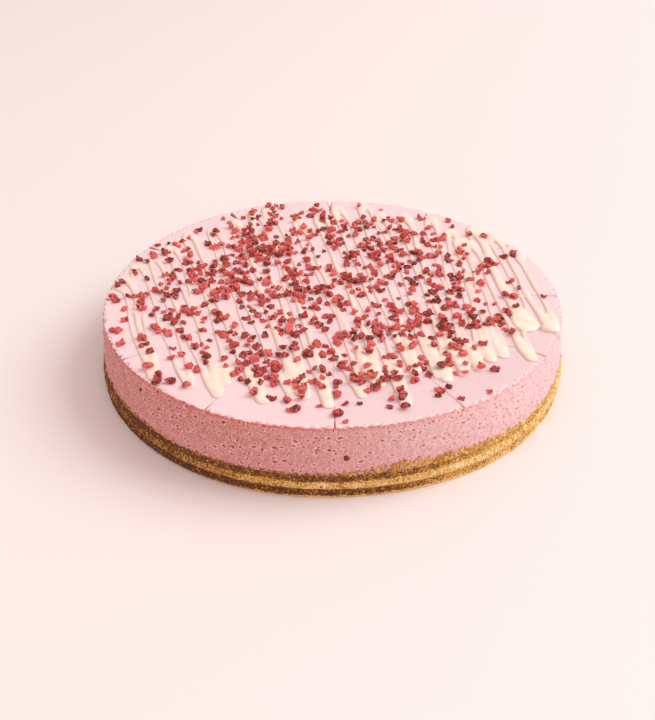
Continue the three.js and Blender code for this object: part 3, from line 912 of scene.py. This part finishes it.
def raspberry_pieces():
    draw = seeded_draw(RASPBERRY_SEED)
    pieces = []
    for x, y, count in CLUMPS:
        for _ in range(count):
            dx = CLUMP_SPREAD * (draw(-1, 1) + draw(-1, 1))
            dy = CLUMP_SPREAD * (draw(-1, 1) + draw(-1, 1))
            pieces.append(raspberry_piece(x * MM + dx, y * MM + dy, draw))
    for _ in range(LOOSE_PIECES):
        pieces.append(raspberry_piece(*raspberry_spot(draw), draw))
    pieces = [p for p in pieces if math.hypot(p["x"], p["y"]) < RIM_RADIUS - RIM_MARGIN]
    return sorted(pieces, key=lambda piece: -piece["length"])


def gap_between(one, other):
    return math.hypot(one["x"] - other["x"], one["y"] - other["y"])


def largest_apart(pieces):
    """The pieces that the solid has too: the largest that don't lie against each other."""
    taken = []
    for piece in pieces:
        if all(gap_between(piece, o) > PIECE_CLEARANCE * (piece["length"] + o["length"]) for o in taken):
            taken.append(piece)
        if len(taken) == PIECES_IN_SOLID:
            break
    return taken


steps = np.linspace(0, 1, 161)
drizzle_track = np.concatenate([stroke_point(stroke, steps) for stroke in strokes])
drizzle_widths = np.concatenate([stroke_width(stroke["widths"], steps) for stroke in strokes])
drizzle_heights = np.minimum(STRAND_RISE * drizzle_widths, HIGHEST_RISE)


def drizzle_rise(x, y):
    """How far the drizzle stands over the top at a point."""
    off_centre = 2 * np.hypot(*(drizzle_track - (x, y)).T) / drizzle_widths
    return float((drizzle_heights * np.sqrt(np.clip(1 - off_centre**2, 0, 1))).max())


def settled_pieces():
    """Sets each piece on the mousse, on the drizzle or against the pieces already there, and
    leaves out those that would land on top of another."""
    pieces = raspberry_pieces()
    first = largest_apart(pieces)
    firm = {id(piece) for piece in first}
    settled = []
    for piece in first + [piece for piece in pieces if id(piece) not in firm]:
        floor = drizzle_rise(piece["x"], piece["y"])
        nearness = 1
        if id(piece) not in firm:
            for under in settled:
                apart = gap_between(piece, under) / (piece["length"] + under["length"])
                nearness = min(nearness, apart)
                if apart < LEANS_WITHIN:
                    floor = max(floor, under["rise"] + LEANING_RISE * under["height"])
        if nearness > LEAST_APART:
            upper = math.hypot(
                piece["height"] * math.cos(piece["tilt"]), piece["width"] * math.sin(piece["tilt"])
            )
            piece["rise"] = min(floor + PIECE_LIFT * piece["height"], HIGHEST_POINT - 0.55 * upper)
            settled.append(piece)
    return settled


def shown_sizes(piece):
    """A piece's length, width and height, with the small ones a little larger than drawn."""
    shortest, longest = PIECE_LENGTH
    share = (piece["length"] / MM - shortest) / (longest - shortest)
    growth = (SMALLEST_PIECE + share * (longest * MM - SMALLEST_PIECE)) / piece["length"]
    return tuple(growth * piece[side] for side in ("length", "width", "height"))


rng = np.random.default_rng(12)
placings = []
for k, piece in enumerate(settled_pieces()):
    place = (piece["x"], piece["y"], CAKE_TOP + piece["rise"])
    number = k % (LUMPY_SHAPES + CURLED_SHAPES)
    placings.append((number, shown_sizes(piece), piece["tilt"], piece["turn"], place, rng.random()))
for angle, height, size in IN_THE_SIDE:
    turned = math.radians(angle)
    radius = RIM_RADIUS + 1.1 * MM + wander(turned)
    place = (radius * math.cos(turned), radius * math.sin(turned), height)
    placings.append((SIDE_SHAPE, (0.8 * size, size, 0.6 * size), 0.2, turned, place, SIDE_TONE))
shapes = [lumpy_shape(seed) for seed in range(LUMPY_SHAPES)]
shapes += [curled_shape(seed) for seed in range(CURLED_SHAPES)]
berries = scatter("raspberry_pieces", shapes, placings)
bpy.ops.object.select_all(action="DESELECT")
berries.select_set(True)
bpy.context.view_layer.objects.active = berries
bpy.ops.object.shade_smooth_by_angle(angle=math.radians(35))

dried, start, shader = finish(
    "raspberry",
    {"Specular IOR Level": 0.3, "Subsurface Weight": 0.08, "Subsurface Scale": 1 * MM},
)
place = start.node("ShaderNodeTexCoord", output="Object")
tone = start.node("ShaderNodeAttribute", {"attribute_name": "tone"}, output="Fac")
patch = start.node("ShaderNodeTexNoise", {}, {"Vector": place, "Scale": 1 / (2.2 * MM), "Detail": 2.0})
fine = start.node("ShaderNodeTexNoise", {}, {"Vector": place, "Scale": 1 / (0.5 * MM), "Detail": 2.0})
flesh = tone.tint(srgb(238, 112, 106), srgb(198, 68, 64))
flesh = fine.rise(0.5, 0.75).tint(flesh, srgb(160, 46, 42))
# Pale spots: partly paler broken flesh and partly painted highlights.
flesh = (0.6 - 0.6 * fine.rise(0.28, 0.42)).tint(flesh, srgb(244, 160, 152))
shade = (patch + 0.25 * (fine - 0.5) + 0.12 * (tone - 0.5)).rise(0.52, 0.59)
(shade * 0.85).tint(flesh, srgb(86, 48, 36)).into(shader, "Base Color")
(0.5 + 0.3 * fine).into(shader, "Roughness")
bump = start.node("ShaderNodeBump", {}, {"Strength": 0.6, "Distance": 0.3 * MM, "Height": fine})
bump.into(shader, "Normal")
berries.data.materials.append(dried)
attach(berries, "root")

# Floor
# A plain pale surface under the cake, wide enough to fill the view.
bpy.ops.object.select_all(action="DESELECT")
bpy.ops.mesh.primitive_plane_add(size=8)
floor = bpy.context.object
floor.name = "floor"
pale, start, shader = finish("pale_floor", {"Base Color": srgb(246, 236, 234), "Roughness": 0.6})
floor.data.materials.append(pale)

# Light and camera
# Soft light from a window at the right and a little behind, a weak one from the front, and the
# camera where the picture was taken from: in front, looking down at 33 degrees.
def add_softbox(name, azimuth, elevation, distance, size, power, colour):
    """A square light that faces the cake. Azimuth 0 is at the right and 90 at the back."""
    a, e = math.radians(azimuth), math.radians(elevation)
    away = (math.cos(a) * math.cos(e), math.sin(a) * math.cos(e), math.sin(e))
    bpy.ops.object.light_add(type="AREA", location=tuple(distance * part for part in away))
    light = bpy.context.object
    light.name = name
    light.rotation_euler = (math.pi / 2 - e, 0, a + math.pi / 2)
    light.data.size = size
    light.data.energy = power
    light.data.color = colour


add_softbox("window_light", 12, 44, 4.0, 2.6, 104, (0.84, 0.98, 1))
add_softbox("front_light", -85, 30, 1.8, 1.2, 5, (1, 0.94, 0.92))
world = bpy.data.worlds.new("studio")
bpy.context.scene.world = world
world.use_nodes = True
world.node_tree.nodes["Background"].inputs["Color"].default_value = (1, 0.81, 0.77, 1)
world.node_tree.nodes["Background"].inputs["Strength"].default_value = 0.72
bpy.context.scene.view_settings.view_transform = "Standard"

CAMERA_PLACE = (0, -474.5 * MM, 303.2 * MM)
CAMERA_PITCH = 33.07  # degrees down from level
CAMERA_YAW = 0.29  # degrees, and so is the roll
CAMERA_ROLL = -0.39
LENS = 48.78  # millimetres, on a 36 mm sensor
turn = (
    Matrix.Rotation(math.radians(CAMERA_YAW), 4, "Z")
    @ Matrix.Rotation(math.radians(90 - CAMERA_PITCH), 4, "X")
    @ Matrix.Rotation(math.radians(CAMERA_ROLL), 4, "Z")
)
bpy.ops.object.camera_add()
camera = bpy.context.object
camera.matrix_world = Matrix.Translation(CAMERA_PLACE) @ turn
camera.data.lens = LENS
camera.data.sensor_width = 36
camera.data.clip_start = 0.01
bpy.context.scene.camera = camera
